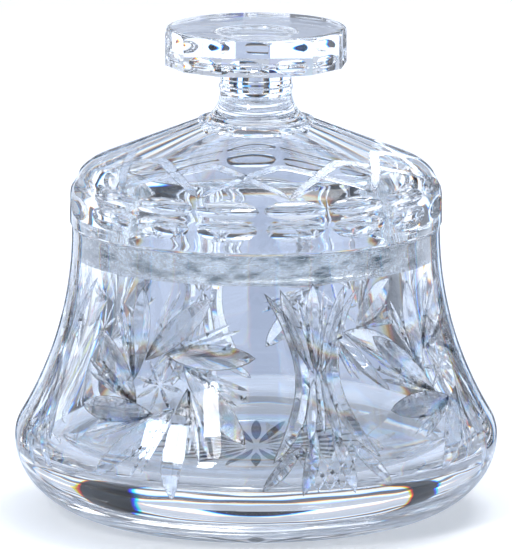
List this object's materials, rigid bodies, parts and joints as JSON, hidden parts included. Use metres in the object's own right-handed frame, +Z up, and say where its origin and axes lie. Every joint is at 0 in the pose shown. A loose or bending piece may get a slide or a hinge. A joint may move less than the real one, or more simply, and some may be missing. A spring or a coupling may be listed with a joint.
{
  "type": "powder jar",
  "caption": "Cut-glass vanity powder jar: a bell-shaped jar with a ground mouth, and a lift-off domed lid with a flat knob.",
  "frame": {"origin": "middle of the foot, on the surface that the jar stands on", "axes": "+Z up along the common axis of jar and lid, -Y to the front, +X to the right"},
  "size_m": [0.12, 0.12, 0.1219],
  "materials": {
    "jar_glass": "polished cut crystal, ground inside the mouth",
    "lid_glass": "polished cut crystal, ground outside its ring"
  },
  "bodies": {
    "jar": {"jar": "jar_glass"},
    "lid": {"lid": "lid_glass"}
  },
  "joints": [
    {"name": "lid_lift", "type": "slide", "parent": "jar", "child": "lid", "axis": [0, 0, 1], "range_m": [0, 0.06]}
  ]
}
